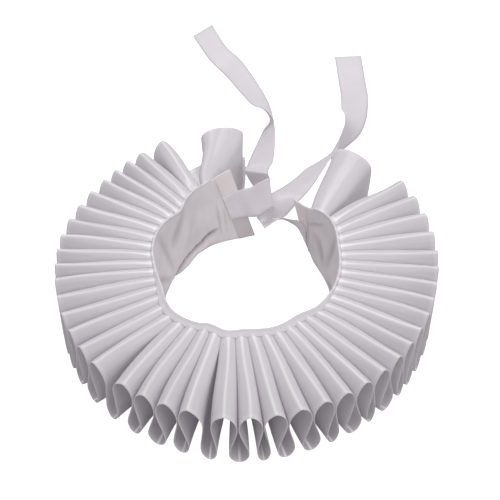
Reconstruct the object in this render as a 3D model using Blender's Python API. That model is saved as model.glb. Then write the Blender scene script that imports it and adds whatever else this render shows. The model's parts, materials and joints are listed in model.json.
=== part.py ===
"""Ruff collar: one satin ribbon set in tall standing loops round a plain neckband, open at
the back, with a folded placket and a ribbon tie on each end of the band.

Frame: origin on the resting plane under the middle of the footprint, ties left out, +Z up,
the opening toward +Y. Angles and radii are taken about the middle of the neck: angles run
from the opening round by -X, the front and +X. Metres.
"""
import math

import bmesh
import bpy
from mathutils import Vector

# Driving dimensions
MM = 0.001
NECK_CENTRE = Vector((0.1, -7.6, 0.0)) * MM
SEAM_GAP = 0.3 * MM
RUFFLE_STANDOFF = 0.8 * MM
BAND_THICKNESS = 1.4 * MM
PLACKET_THICKNESS = 2.4 * MM
RUFFLE_THICKNESS = 1.0 * MM
TIE_THICKNESS = 1.0 * MM
CREST_BELOW_BAND = 0.8 * MM
CREST_BULGE = 1.2 * MM
LAST_LOOP = 42
LOOP_CLEARANCE = 0.75 * MM
TOP_HALF_WIDTH_INNER = 5.2 * MM
TOP_HALF_WIDTH_RIM = 9.2 * MM
END_HALF_WIDTH_INNER = 7.5 * MM
END_HALF_WIDTH_RIM = 19.0 * MM
FOOT_HALF_WIDTH_INNER = 3.2 * MM
FOOT_HALF_WIDTH_RIM = 6.3 * MM
END_SLOT_INNER = 2.0 * MM
END_SLOT_RIM = 16.0 * MM
NEXT_SLOT_INNER = 1.6 * MM
NEXT_SLOT_RIM = 4.5 * MM
END_FLARE = 0.6
FOOT_BEND = 0.9 * MM
CAP_DEGREES = 50.0
RADIAL_STATIONS = (0.0, 0.34, 0.68, 1.0)
# Places on the way down from a crest to the foot of the next loop, in degrees of half a wave
DESCENT = (0.0, 21.0, 45.0, 77.0, 110.0, 141.0, 163.0)
BAND_COLUMNS = 130
BAND_ROWS = 3
PLACKET_COLUMNS = 4
TIE_STEPS = 4

# Neckband plan. Columns: top angle (deg), top radius (mm), top height (mm),
# foot angle (deg), foot radius (mm)
BAND_PLAN = (
    (22.3, 100.0, 50.0, 8.2, 72.0),
    (29.5, 93.5, 51.0, 18.5, 68.5),
    (36.0, 87.5, 53.0, 29.0, 67.5),
    (43.5, 82.5, 56.0, 40.0, 67.0),
    (52.0, 76.0, 58.0, 50.0, 65.0),
    (62.0, 69.0, 59.0, 61.0, 63.0),
    (72.0, 70.6, 60.0, 72.0, 62.5),
    (84.0, 72.2, 60.0, 84.0, 63.5),
    (100.0, 71.0, 60.0, 100.0, 65.0),
    (112.0, 69.3, 60.0, 112.0, 66.0),
    (128.0, 69.5, 60.0, 128.0, 67.0),
    (147.0, 75.5, 60.0, 147.0, 70.0),
    (163.0, 74.0, 60.0, 163.0, 69.0),
    (171.6, 70.7, 60.0, 171.6, 67.0),
    (182.0, 73.0, 60.0, 182.0, 68.0),
    (192.0, 70.5, 60.0, 192.0, 67.0),
    (210.0, 71.2, 60.0, 210.0, 67.0),
    (227.0, 68.4, 60.0, 227.0, 66.0),
    (240.0, 71.4, 60.0, 240.0, 67.0),
    (265.0, 70.9, 60.0, 265.0, 67.0),
    (290.0, 70.0, 60.0, 290.0, 67.0),
    (312.0, 74.0, 60.0, 312.0, 67.5),
    (322.0, 72.3, 60.0, 322.0, 69.5),
    (329.5, 67.2, 60.0, 330.5, 75.0),
    (340.4, 67.6, 60.0, 338.7, 82.5),
)
LEFT_END_ANGLE = 22.3
LEFT_SEAM_ANGLE = 29.5
RIGHT_SEAM_ANGLE = 329.5
RIGHT_END_ANGLE = 340.4

# Where the loops meet the neckband. Columns: loop number, top angle (deg)
INNER_LOOPS = (
    (-0.5, 30.2),
    (0.0, 35.0),
    (1.0, 42.0),
    (41.0, 311.0),
    (42.0, 320.5),
    (42.5, 328.3),
)

# Outer rim. Columns: loop number, angle (deg), radius (mm), crest height (mm)
RIM_LOOPS = (
    (-1.0, 7.0, 164.0, 37.0),
    (0.0, 21.0, 165.0, 37.0),
    (1.0, 41.8, 148.0, 53.0),
    (2.0, 51.0, 142.5, 56.0),
    (5.0, 67.6, 141.0, 56.0),
    (9.0, 94.3, 145.0, 56.0),
    (12.0, 111.8, 145.0, 56.0),
    (17.0, 145.7, 146.0, 56.0),
    (18.0, 156.8, 145.0, 56.0),
    (21.0, 176.9, 144.0, 56.0),
    (22.0, 187.3, 145.0, 56.0),
    (26.0, 216.1, 142.0, 56.0),
    (30.0, 242.8, 143.0, 56.0),
    (35.0, 273.2, 144.5, 56.0),
    (37.0, 285.4, 146.0, 56.0),
    (41.0, 316.1, 149.0, 56.0),
    (42.0, 337.2, 151.0, 48.0),
    (43.0, 352.4, 151.0, 48.0),
)

# Ribbon ties, from the sewn end to the free end. Columns: centre x, y, z from the middle of
# the neck (mm), direction across the ribbon x, y, z, width (mm; gathered inside the knot)
TIE_LEFT = (
    (-32.9, 72.7, 26.0, -0.41, 0.28, 0.87, 25.0),
    (-28.6, 76.8, 25.8, -0.44, 0.31, 0.84, 25.0),
    (-23.8, 80.9, 25.7, -0.45, 0.35, 0.82, 25.0),
    (-14.5, 85.1, 26.7, -0.36, 0.68, 0.64, 25.0),
    (-8.4, 89.2, 29.3, -0.33, 0.69, 0.65, 25.0),
    (-3.9, 92.4, 31.0, -0.33, 0.69, 0.65, 25.0),
    (-1.6, 95.0, 30.3, -0.33, 0.69, 0.65, 25.0),
    (-4.6, 96.3, 29.4, -0.27, 0.71, 0.65, 23.0),
    (-8.8, 98.2, 31.3, -0.06, 0.76, 0.65, 17.0),
    (-12.4, 102.3, 32.4, 0.39, 0.74, 0.55, 14.0),
    (-16.9, 109.9, 29.2, 0.92, 0.20, 0.33, 18.0),
    (-20.4, 119.1, 26.0, 0.88, 0.10, 0.47, 23.0),
    (-21.0, 137.0, 22.0, 0.79, 0.08, 0.61, 25.0),
    (-21.5, 158.6, 18.0, 0.67, 0.16, 0.73, 25.0),
    (-23.2, 181.9, 15.0, 0.44, 0.10, 0.89, 25.0),
    (-24.7, 202.0, 13.2, 0.09, 0.07, 0.99, 25.0),
    (-28.7, 216.3, 12.8, -0.22, -0.18, 0.96, 25.0),
    (-37.4, 230.6, 11.6, -0.33, -0.53, 0.78, 25.0),
    (-54.0, 249.3, 6.5, -0.36, -0.84, 0.41, 25.0),
    (-76.0, 270.0, 1.6, -0.43, -0.90, 0.04, 25.0),
    (-96.2, 288.2, 0.9, -0.47, -0.88, 0.00, 25.0),
    (-119.0, 316.2, 0.9, -0.54, -0.84, 0.00, 25.0),
)
TIE_RIGHT = (
    (34.0, 61.8, 26.8, -0.05, -0.13, 0.99, 25.0),
    (30.6, 65.3, 26.8, -0.08, -0.17, 0.98, 25.0),
    (27.1, 68.9, 26.7, -0.11, -0.20, 0.97, 25.0),
    (22.2, 75.4, 17.5, -0.12, 0.08, 0.99, 16.0),
    (15.0, 85.6, 6.4, -0.47, 0.62, 0.62, 9.0),
    (8.5, 86.9, 7.2, -0.51, 0.60, 0.61, 13.0),
    (0.0, 85.3, 7.3, -0.55, 0.58, 0.60, 18.0),
    (-8.7, 84.9, 9.5, -0.64, 0.52, 0.57, 22.0),
    (-12.8, 84.6, 12.7, -0.64, 0.52, 0.57, 24.0),
    (-9.5, 84.2, 14.9, -0.60, 0.55, 0.58, 25.0),
    (-2.7, 87.7, 16.5, -0.55, 0.58, 0.60, 25.0),
    (4.7, 93.8, 19.1, -0.51, 0.61, 0.61, 25.0),
    (9.3, 104.0, 20.0, -0.41, 0.21, 0.89, 25.0),
    (14.8, 116.3, 18.5, -0.30, -0.02, 0.95, 25.0),
    (20.1, 132.1, 16.5, -0.21, -0.20, 0.96, 25.0),
    (27.6, 152.7, 14.0, -0.00, -0.33, 0.94, 25.0),
    (36.3, 168.0, 13.0, 0.39, -0.32, 0.86, 25.0),
    (40.9, 176.5, 12.5, 0.58, -0.28, 0.76, 25.0),
    (46.2, 196.3, 10.8, 0.76, -0.08, 0.64, 25.0),
    (47.7, 213.5, 8.6, 0.89, 0.11, 0.45, 25.0),
    (45.9, 232.4, 5.0, 0.94, 0.22, 0.25, 25.0),
    (40.3, 256.9, 2.2, 0.96, 0.28, 0.08, 25.0),
    (33.7, 280.0, 1.0, 0.96, 0.28, 0.00, 25.0),
    (24.1, 312.9, 0.9, 0.96, 0.29, 0.00, 25.0),
)

# How far the widest place of a half wave lies from its crest, in pitches, and the share of
# the sine term that it takes
WIDEST_SHARE = 0.1417
WIDEST_SINE = 0.978

# Small steps for directions and distances along the forms
BAND_STEP_DEGREES = 0.4
RADIAL_STEP = 0.05
PITCH_LEVEL = 0.8


def straight(rows, x):
    """Row values at x, straight between rows; the first column is the key."""
    if x <= rows[0][0]:
        low, high = rows[0], rows[1]
    elif x >= rows[-1][0]:
        low, high = rows[-2], rows[-1]
    else:
        i = next(i for i in range(1, len(rows)) if x <= rows[i][0])
        low, high = rows[i - 1], rows[i]
    f = (x - low[0]) / (high[0] - low[0])
    return [a + (b - a) * f for a, b in zip(low[1:], high[1:])]


def curved(rows, x):
    """Row values at x on a smooth curve through the rows."""
    x = min(max(x, rows[0][0]), rows[-1][0])
    i = next(i for i in range(1, len(rows)) if x <= rows[i][0])
    span = rows[i][0] - rows[i - 1][0]
    f = (x - rows[i - 1][0]) / span
    values = []
    for c in range(1, len(rows[0])):
        left, right = rows[i - 1][c], rows[i][c]
        chord = (right - left) / span
        before = chord
        after = chord
        if i >= 2:
            before = (right - rows[i - 2][c]) / (rows[i][0] - rows[i - 2][0])
        if i + 1 < len(rows):
            after = (rows[i + 1][c] - left) / (rows[i + 1][0] - rows[i - 1][0])
        h00 = 2 * f**3 - 3 * f**2 + 1
        h10 = f**3 - 2 * f**2 + f
        h01 = -2 * f**3 + 3 * f**2
        h11 = f**3 - f**2
        values.append(h00 * left + h10 * span * before + h01 * right + h11 * span * after)
    return values


def polar(angle_deg, radius, z):
    a = math.radians(angle_deg)
    return NECK_CENTRE + Vector((-radius * math.sin(a), radius * math.cos(a), z))


def band_face(angle_deg, v):
    """Point on the neckband's inner face: v is 0 at the foot and 1 at the top edge."""
    top_r, top_z, foot_a, foot_r = curved(BAND_PLAN, angle_deg)
    top = polar(angle_deg, top_r * MM, top_z * MM)
    foot = polar(foot_a, foot_r * MM, 0.0)
    return foot.lerp(top, v)


def band_out(angle_deg, v):
    """Unit vector, level, from the inner face to the outer face."""
    step = band_face(angle_deg + BAND_STEP_DEGREES, v) - band_face(angle_deg - BAND_STEP_DEGREES, v)
    return Vector((step.y, -step.x, 0.0)).normalized()


def band_point(angle_deg, v, out):
    return band_face(angle_deg, v) + band_out(angle_deg, v) * out


def ruffle_point(loop, v, s):
    """Middle of the ribbon wall: v is 0 on the ground and 1 at the crest, s runs to the rim."""
    inner_angle = straight(INNER_LOOPS, loop)[0]
    inner = band_point(inner_angle, v, BAND_THICKNESS + RUFFLE_STANDOFF)
    rim_angle, rim_radius, rim_height = straight(RIM_LOOPS, loop)
    rim = polar(rim_angle, rim_radius * MM, 0.0)
    flat = inner.lerp(rim, s)
    inner_height = curved(BAND_PLAN, inner_angle)[1] * MM - CREST_BELOW_BAND
    crest = inner_height + (rim_height * MM - inner_height) * s + 4 * CREST_BULGE * s * (1 - s)
    ground = RUFFLE_THICKNESS / 2
    return Vector((flat.x, flat.y, ground + v * (crest - 2 * ground)))


def between(inner, rim, s):
    return inner + (rim - inner) * s


def top_half_width(loop, s):
    if loop in (0, LAST_LOOP):
        return between(END_HALF_WIDTH_INNER, END_HALF_WIDTH_RIM, s**END_FLARE)
    return between(TOP_HALF_WIDTH_INNER, TOP_HALF_WIDTH_RIM, s)


def slot_half_width(loop, s):
    """Half the opening under an upper loop beside the broad foot of an end bay."""
    if loop in (0, LAST_LOOP):
        return between(END_SLOT_INNER, END_SLOT_RIM, s**END_FLARE)
    return between(NEXT_SLOT_INNER, NEXT_SLOT_RIM, s)


def end_bay_width(degrees, mix, top, slot):
    """Distance from the crest line on the steep sides of the bays next to the end loops."""
    if degrees == DESCENT[-1]:
        return slot + FOOT_BEND
    cap = math.sin(min(degrees / CAP_DEGREES, 1.0) * math.pi / 2)
    return cap * (slot + (top - slot) * math.sqrt(mix))


def half_wave(crest, toward, s):
    """(loop coordinate, v) from the crest down to the foot between it and the next crest."""
    next_crest = ruffle_point(crest + toward, PITCH_LEVEL, s)
    pitch = (next_crest - ruffle_point(crest, PITCH_LEVEL, s)).length
    room = pitch / 2 - LOOP_CLEARANCE
    top = min(top_half_width(crest, s), room)
    foot = min(between(FOOT_HALF_WIDTH_INNER, FOOT_HALF_WIDTH_RIM, s), room)
    top_sine = max(0.0, (top / pitch - WIDEST_SHARE) / WIDEST_SINE)
    foot_sine = max(0.0, (foot / pitch - WIDEST_SHARE) / WIDEST_SINE)
    end_bay = crest in (0, LAST_LOOP) or crest + toward in (0, LAST_LOOP)
    slot = min(slot_half_width(crest, s), room - FOOT_BEND)
    places = []
    for degrees in DESCENT:
        t = math.radians(degrees)
        mix = (1 + math.cos(t)) / 2
        sine = foot_sine + (top_sine - foot_sine) * mix
        along = 0.5 * t / math.pi + sine * math.sin(2 * t)
        if end_bay:
            along = end_bay_width(degrees, mix, top, slot) / pitch
        v = 0.0 if degrees == DESCENT[-1] else mix
        places.append((crest + toward * along, v))
    return places


def ruffle_section(s):
    """The wave at one distance from the neck, end to end, as (loop coordinate, v)."""
    line = [(-0.5, 0.0)]
    for crest in range(LAST_LOOP + 1):
        line.extend(reversed(half_wave(crest, -1, s)[1:]))
        line.extend(half_wave(crest, 1, s))
    line.append((LAST_LOOP + 0.5, 0.0))
    return line


def wall_sides(loop_points, outward, on_ground):
    """Offset a polyline to both sides by half the wall, with mitred corners, flat at the feet."""
    half = RUFFLE_THICKNESS / 2
    count = len(loop_points)
    normals = []
    for i in range(count - 1):
        edge = loop_points[i + 1] - loop_points[i]
        normals.append(edge.cross(outward[i] + outward[i + 1]).normalized())
    lower, upper = [], []
    for i in range(count):
        before = normals[max(i - 1, 0)]
        after = normals[min(i, count - 2)]
        miter = (before + after) / (1.0 + before.dot(after))
        sides = [loop_points[i] + miter * half, loop_points[i] - miter * half]
        sides.sort(key=lambda p: (p - loop_points[i]).dot(before), reverse=True)
        if on_ground[i]:
            for side in sides:
                side.z = 0.0 if side.z < loop_points[i].z else RUFFLE_THICKNESS
        lower.append(sides[0])
        upper.append(sides[1])
    return lower, upper


def make_object(name, bm, material, collection):
    bmesh.ops.recalc_face_normals(bm, faces=bm.faces)
    mesh = bpy.data.meshes.new(name)
    bm.to_mesh(mesh)
    bm.free()
    obj = bpy.data.objects.new(name, mesh)
    obj.data.materials.append(material)
    collection.objects.link(obj)
    return obj


def closed_grid(rings, smooth):
    """Join rings of equal length into a tube of faces and close both ends."""
    bm = bmesh.new()
    verts = [[bm.verts.new(p) for p in ring] for ring in rings]
    size = len(verts[0])
    for a, b in zip(verts, verts[1:]):
        for i in range(size):
            j = (i + 1) % size
            face = bm.faces.new((a[i], a[j], b[j], b[i]))
            face.smooth = smooth
    half = size // 2
    for ring in (verts[0], verts[-1]):
        for i in range(half - 1):
            bm.faces.new((ring[i], ring[i + 1], ring[size - 2 - i], ring[size - 1 - i]))
    return bm


def make_ruffle(material, collection):
    sections = []
    for s in RADIAL_STATIONS:
        line = ruffle_section(s)
        points = [ruffle_point(p, v, s) for p, v in line]
        near = max(s - RADIAL_STEP, 0.0)
        far = near + RADIAL_STEP
        outward = [
            (ruffle_point(p, v, far) - ruffle_point(p, v, near)).normalized() for p, v in line
        ]
        sections.append(wall_sides(points, outward, [v == 0.0 for _, v in line]))
    rings = []
    for i in range(len(sections[0][0])):
        ring = [lower[i] for lower, _ in sections]
        ring.extend(upper[i] for _, upper in reversed(sections))
        rings.append(ring)
    return make_object("pleated_ruffle", closed_grid(rings, True), material, collection)


def make_band_piece(name, first, last, columns, thickness, material, collection):
    """A standing wall on the neckband's plan between two top angles."""
    levels = [r / BAND_ROWS for r in range(BAND_ROWS + 1)]
    rings = []
    for c in range(columns + 1):
        angle = first + (last - first) * c / columns
        ring = [band_point(angle, v, 0.0) for v in levels]
        ring.extend(band_point(angle, v, thickness) for v in reversed(levels))
        rings.append(ring)
    return make_object(name, closed_grid(rings, True), material, collection)


def through(a, b, c, d, f):
    """Smooth curve from b to c."""
    return 0.5 * (2 * b + (c - a) * f + (2 * a - 5 * b + 4 * c - d) * f * f
                  + (3 * b - a - 3 * c + d) * f**3)


def make_tie(name, rows, material, collection):
    """A flat ribbon ruled between its two edges, with a closed rectangular section."""
    stations = []
    for row in rows:
        centre = NECK_CENTRE + Vector(row[:3]) * MM
        across = Vector(row[3:6]).normalized() * (row[6] * MM / 2)
        stations.append((centre, across))
    line = []
    for i in range(len(stations) - 1):
        near = [stations[min(max(j, 0), len(stations) - 1)] for j in range(i - 1, i + 3)]
        for step in range(TIE_STEPS):
            f = step / TIE_STEPS
            line.append(tuple(through(*(n[c] for n in near), f) for c in (0, 1)))
    line.append(stations[-1])
    rings = []
    for i, (centre, across) in enumerate(line):
        ahead = line[min(i + 1, len(line) - 1)][0] - line[max(i - 1, 0)][0]
        half = ahead.cross(across).normalized() * (TIE_THICKNESS / 2)
        edge_a, edge_b = centre - across, centre + across
        ring = [edge_a - half, centre - half, edge_b - half]
        ring.extend((edge_b + half, centre + half, edge_a + half))
        rings.append(ring)
    return make_object(name, closed_grid(rings, True), material, collection)


def make_material(name, colour, roughness, sheen):
    material = bpy.data.materials.new(name)
    material.use_nodes = True
    shader = material.node_tree.nodes["Principled BSDF"]
    shader.inputs["Base Color"].default_value = (*colour, 1.0)
    shader.inputs["Roughness"].default_value = roughness
    shader.inputs["Sheen Weight"].default_value = sheen
    return material


def seam_gap_degrees(angle_deg):
    """The gap at a seam as a step of the top angle, measured half way up the band."""
    step = band_face(angle_deg + BAND_STEP_DEGREES, 0.5) - band_face(angle_deg, 0.5)
    return SEAM_GAP * BAND_STEP_DEGREES / step.length


def main():
    for old in list(bpy.data.objects):
        bpy.data.objects.remove(old, do_unlink=True)
    collection = bpy.data.collections.new("ruff_collar")
    bpy.context.scene.collection.children.link(collection)

    satin = make_material("ruffle_satin", (0.72, 0.69, 0.72), 0.42, 0.3)
    cotton = make_material("band_cotton", (0.55, 0.52, 0.53), 0.85, 0.1)
    placket_left = make_material("placket_left_ribbon", (0.66, 0.60, 0.61), 0.6, 0.2)
    placket_right = make_material("placket_right_ribbon", (0.66, 0.60, 0.61), 0.6, 0.2)
    tie_left = make_material("tie_left_satin", (0.76, 0.71, 0.74), 0.45, 0.3)
    tie_right = make_material("tie_right_satin", (0.76, 0.71, 0.74), 0.45, 0.3)

    make_ruffle(satin, collection)
    left_gap = seam_gap_degrees(LEFT_SEAM_ANGLE)
    right_gap = seam_gap_degrees(RIGHT_SEAM_ANGLE)
    make_band_piece("neckband", LEFT_SEAM_ANGLE, RIGHT_SEAM_ANGLE, BAND_COLUMNS,
                    BAND_THICKNESS, cotton, collection)
    make_band_piece("placket_left", LEFT_END_ANGLE, LEFT_SEAM_ANGLE - left_gap, PLACKET_COLUMNS,
                    PLACKET_THICKNESS, placket_left, collection)
    make_band_piece("placket_right", RIGHT_SEAM_ANGLE + right_gap, RIGHT_END_ANGLE, PLACKET_COLUMNS,
                    PLACKET_THICKNESS, placket_right, collection)
    make_tie("tie_left", TIE_LEFT, tie_left, collection)
    make_tie("tie_right", TIE_RIGHT, tie_right, collection)


main()
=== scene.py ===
# %% [markdown]
# # A satin ruff collar
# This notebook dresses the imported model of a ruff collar: one long satin ribbon set in tall
# standing loops round a plain neckband, with a folded placket and a ribbon tie at each end.
# Everything is in metres. The collar stands on z = 0 and its opening looks along +Y.

# %% Load the frame and keep its box
import bmesh
import bpy
import json
import math
import random
from mathutils import Matrix, Vector
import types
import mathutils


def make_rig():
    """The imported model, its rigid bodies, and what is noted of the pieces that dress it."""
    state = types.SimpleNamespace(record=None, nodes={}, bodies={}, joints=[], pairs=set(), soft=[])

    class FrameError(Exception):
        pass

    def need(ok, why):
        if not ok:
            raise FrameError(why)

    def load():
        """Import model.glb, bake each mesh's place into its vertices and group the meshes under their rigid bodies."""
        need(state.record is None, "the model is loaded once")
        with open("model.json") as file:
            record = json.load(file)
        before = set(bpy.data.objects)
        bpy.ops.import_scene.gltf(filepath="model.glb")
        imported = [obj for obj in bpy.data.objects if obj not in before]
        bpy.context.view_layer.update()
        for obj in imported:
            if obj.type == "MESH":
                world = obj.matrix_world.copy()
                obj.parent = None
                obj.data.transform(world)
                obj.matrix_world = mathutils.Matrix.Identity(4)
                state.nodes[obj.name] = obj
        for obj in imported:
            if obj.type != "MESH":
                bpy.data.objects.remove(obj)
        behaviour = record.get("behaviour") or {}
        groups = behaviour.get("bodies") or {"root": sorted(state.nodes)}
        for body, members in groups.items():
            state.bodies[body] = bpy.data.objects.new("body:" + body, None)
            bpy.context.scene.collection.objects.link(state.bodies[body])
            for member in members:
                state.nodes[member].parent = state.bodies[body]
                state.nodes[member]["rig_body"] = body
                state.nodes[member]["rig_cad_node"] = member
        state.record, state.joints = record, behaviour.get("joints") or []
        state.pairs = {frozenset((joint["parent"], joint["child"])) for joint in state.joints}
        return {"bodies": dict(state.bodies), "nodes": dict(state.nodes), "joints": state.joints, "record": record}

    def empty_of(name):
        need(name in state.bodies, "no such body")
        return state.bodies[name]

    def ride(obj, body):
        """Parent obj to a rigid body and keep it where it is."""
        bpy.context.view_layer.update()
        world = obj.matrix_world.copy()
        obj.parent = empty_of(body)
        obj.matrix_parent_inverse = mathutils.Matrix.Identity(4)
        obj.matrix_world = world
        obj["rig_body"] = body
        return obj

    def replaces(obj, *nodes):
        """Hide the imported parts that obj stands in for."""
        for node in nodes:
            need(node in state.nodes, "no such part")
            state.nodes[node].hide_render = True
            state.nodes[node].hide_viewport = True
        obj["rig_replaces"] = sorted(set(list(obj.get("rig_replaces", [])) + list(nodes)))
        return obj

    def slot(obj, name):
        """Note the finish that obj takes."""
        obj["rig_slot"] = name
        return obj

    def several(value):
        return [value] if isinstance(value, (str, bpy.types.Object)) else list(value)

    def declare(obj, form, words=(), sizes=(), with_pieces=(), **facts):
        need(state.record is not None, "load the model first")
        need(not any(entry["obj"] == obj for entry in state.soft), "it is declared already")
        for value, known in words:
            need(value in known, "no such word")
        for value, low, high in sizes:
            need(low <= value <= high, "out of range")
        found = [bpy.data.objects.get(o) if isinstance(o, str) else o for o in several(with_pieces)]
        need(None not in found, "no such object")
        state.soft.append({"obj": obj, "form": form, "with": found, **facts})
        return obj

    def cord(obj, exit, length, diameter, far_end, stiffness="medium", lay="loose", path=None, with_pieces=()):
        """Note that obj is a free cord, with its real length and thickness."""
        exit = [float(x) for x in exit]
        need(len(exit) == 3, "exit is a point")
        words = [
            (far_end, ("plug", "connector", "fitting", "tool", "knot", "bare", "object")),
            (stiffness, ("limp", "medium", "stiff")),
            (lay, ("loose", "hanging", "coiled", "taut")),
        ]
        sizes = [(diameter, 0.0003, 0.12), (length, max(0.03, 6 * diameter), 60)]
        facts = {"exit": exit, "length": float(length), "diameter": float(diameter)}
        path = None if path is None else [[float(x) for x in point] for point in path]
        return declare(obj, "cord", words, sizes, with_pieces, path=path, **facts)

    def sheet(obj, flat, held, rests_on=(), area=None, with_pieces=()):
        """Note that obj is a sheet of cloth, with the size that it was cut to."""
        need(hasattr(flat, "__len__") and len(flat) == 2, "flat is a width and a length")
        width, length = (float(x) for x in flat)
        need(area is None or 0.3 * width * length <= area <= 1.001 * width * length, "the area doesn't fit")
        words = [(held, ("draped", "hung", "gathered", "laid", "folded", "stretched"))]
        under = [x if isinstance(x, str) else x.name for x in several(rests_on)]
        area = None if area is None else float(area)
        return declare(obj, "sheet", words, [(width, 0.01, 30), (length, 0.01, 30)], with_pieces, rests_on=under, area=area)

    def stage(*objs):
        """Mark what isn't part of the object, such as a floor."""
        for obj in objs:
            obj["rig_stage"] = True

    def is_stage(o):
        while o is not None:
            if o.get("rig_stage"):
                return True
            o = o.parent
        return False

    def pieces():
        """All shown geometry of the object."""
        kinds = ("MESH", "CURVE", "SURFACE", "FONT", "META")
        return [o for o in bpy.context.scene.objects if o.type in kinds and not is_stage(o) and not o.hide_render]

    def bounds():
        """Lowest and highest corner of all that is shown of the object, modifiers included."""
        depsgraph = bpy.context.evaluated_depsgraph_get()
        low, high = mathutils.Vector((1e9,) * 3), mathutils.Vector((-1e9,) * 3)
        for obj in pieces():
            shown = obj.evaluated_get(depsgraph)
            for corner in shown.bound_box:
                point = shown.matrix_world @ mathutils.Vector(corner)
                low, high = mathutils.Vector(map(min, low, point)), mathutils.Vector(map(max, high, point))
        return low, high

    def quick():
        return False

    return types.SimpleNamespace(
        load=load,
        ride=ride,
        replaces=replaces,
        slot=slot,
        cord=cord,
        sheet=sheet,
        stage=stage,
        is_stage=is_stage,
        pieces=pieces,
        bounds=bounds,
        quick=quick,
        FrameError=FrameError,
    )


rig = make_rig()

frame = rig.load()
cad_box = [list(corner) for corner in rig.bounds()]
print("nodes:", ", ".join(sorted(frame["nodes"])))

MM = 0.001
NECK_CENTRE = Vector((0.1, -7.6, 0.0)) * MM
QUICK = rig.quick()

# %% [markdown]
# ## The camera
# The collar is seen from above its front, with a long lens from a metre away. A camera's local
# axes are right, up and back, so its matrix is written straight from the view's two angles.

# %% Camera
VIEW_AZIMUTH = math.radians(13.3)
VIEW_ELEVATION = math.radians(49.047)
VIEW_DISTANCE = 1037.0 * MM
LENS_MM = 90.8
SENSOR_MM = 36.0
VIEW_POINT = NECK_CENTRE + Vector((-10.6, 56.0, 0.0)) * MM

camera_data = bpy.data.cameras.new("camera")
camera_data.lens = LENS_MM
camera_data.sensor_width = SENSOR_MM
camera = bpy.data.objects.new("camera", camera_data)
bpy.context.collection.objects.link(camera)
right = Vector((math.cos(VIEW_AZIMUTH), math.sin(VIEW_AZIMUTH), 0.0))
back = Vector((
    math.sin(VIEW_AZIMUTH) * math.cos(VIEW_ELEVATION),
    -math.cos(VIEW_AZIMUTH) * math.cos(VIEW_ELEVATION),
    math.sin(VIEW_ELEVATION),
))
up = back.cross(right)
axes = Matrix((right, up, back)).transposed().to_4x4()
camera.matrix_world = Matrix.Translation(VIEW_POINT + back * VIEW_DISTANCE) @ axes
bpy.context.scene.camera = camera
print("camera stands", round(VIEW_DISTANCE, 3), "m away")

# %% [markdown]
# ## Small tools
# Every piece is made as a bmesh and put into the scene the same way. Every material is a few
# nodes, and one function gives a node's inputs their values or links them.

# %% Tools for objects and nodes


def new_mesh_object(name, bm, material):
    """Puts a bmesh into the scene as an object at the origin, smooth shaded."""
    mesh = bpy.data.meshes.new(name)
    bm.to_mesh(mesh)
    bm.free()
    mesh.shade_smooth()
    mesh.materials.append(material)
    obj = bpy.data.objects.new(name, mesh)
    bpy.context.collection.objects.link(obj)
    return obj


def feed(node, values):
    """Gives a node's inputs plain values, or links them to the output sockets given."""
    for socket, value in values.items():
        if isinstance(value, bpy.types.NodeSocket):
            node.id_data.links.new(value, node.inputs[socket])
        else:
            node.inputs[socket].default_value = value
    return node


def math_node(tree, operation, *values):
    """A Math node fed by sockets or plain numbers; returns its output."""
    node = tree.nodes.new("ShaderNodeMath")
    node.operation = operation
    return feed(node, dict(enumerate(values))).outputs[0]


def mix_colours(tree, share, first, second):
    """A Mix node from a first colour to a second one by a share; returns the mixed colour."""
    mix = tree.nodes.new("ShaderNodeMix")
    mix.data_type = "RGBA"
    return feed(mix, {"Factor": share, "A": first, "B": second}).outputs["Result"]


print("tools ready")

# %% [markdown]
# ## Floor and light
# A white light table and large soft lights. The table glows, as the table in a product studio
# does, so the shade under the collar stays pale. Only the camera sees the glow: in the bounced
# light it would fill the dark insides of the loops. One small light hangs high behind the collar,
# where each crest mirrors it to the camera as one thin bright line.

# %% Floor, lights and surroundings
FLOOR_SIZE = 12.0
FLOOR_GREY = (0.6, 0.6, 0.6, 1.0)
FLOOR_ROUGHNESS = 0.9
BLACK = (0.0, 0.0, 0.0, 1.0)
WHITE = (1.0, 1.0, 1.0, 1.0)
LIGHT_AIM = Vector((0.0, 0.0, 0.03))
ROOM_LIGHT = 0.38


def add_light(name, place, size, power):
    """A square area light that looks at the middle of the collar."""
    data = bpy.data.lights.new(name, "AREA")
    data.size = size
    data.energy = power
    light = bpy.data.objects.new(name, data)
    light.location = place
    light.rotation_euler = (LIGHT_AIM - Vector(place)).to_track_quat("-Z", "Y").to_euler()
    bpy.context.collection.objects.link(light)


table_white = bpy.data.materials.new("table_white")
table_white.use_nodes = True
table_nodes = table_white.node_tree
seen = table_nodes.nodes.new("ShaderNodeLightPath")
feed(table_nodes.nodes["Principled BSDF"], {
    "Base Color": FLOOR_GREY, "Roughness": FLOOR_ROUGHNESS, "Emission Strength": 1.0,
    "Emission Color": mix_colours(table_nodes, seen.outputs["Is Camera Ray"], BLACK, WHITE)})

floor_bm = bmesh.new()
bmesh.ops.create_grid(floor_bm, x_segments=1, y_segments=1, size=FLOOR_SIZE / 2)
floor = new_mesh_object("table_top", floor_bm, table_white)
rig.stage(floor)

add_light("crest_light", (-0.29, 1.21, 1.43), 0.42, 10.5)
add_light("overhead", (0.0, -0.1, 2.0), 2.2, 9.3)
add_light("fill_right", (1.7, -0.9, 1.3), 1.2, 7.6)

world = bpy.data.worlds.new("studio")
world.use_nodes = True
feed(world.node_tree.nodes["Background"], {"Color": WHITE, "Strength": ROOM_LIGHT})
bpy.context.scene.world = world
bpy.context.scene.view_settings.view_transform = "Standard"
print("lights:", sum(1 for o in bpy.context.scene.objects if o.type == "LIGHT"))

# %% [markdown]
# ## The curves that the cloth follows
# Every piece is set on the same few curves: the neckband's plan, the places where the loops
# are sewn to it, and the outer rim. They are short tables. One reader draws a smooth curve
# through the rows and another goes straight from row to row.

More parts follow.
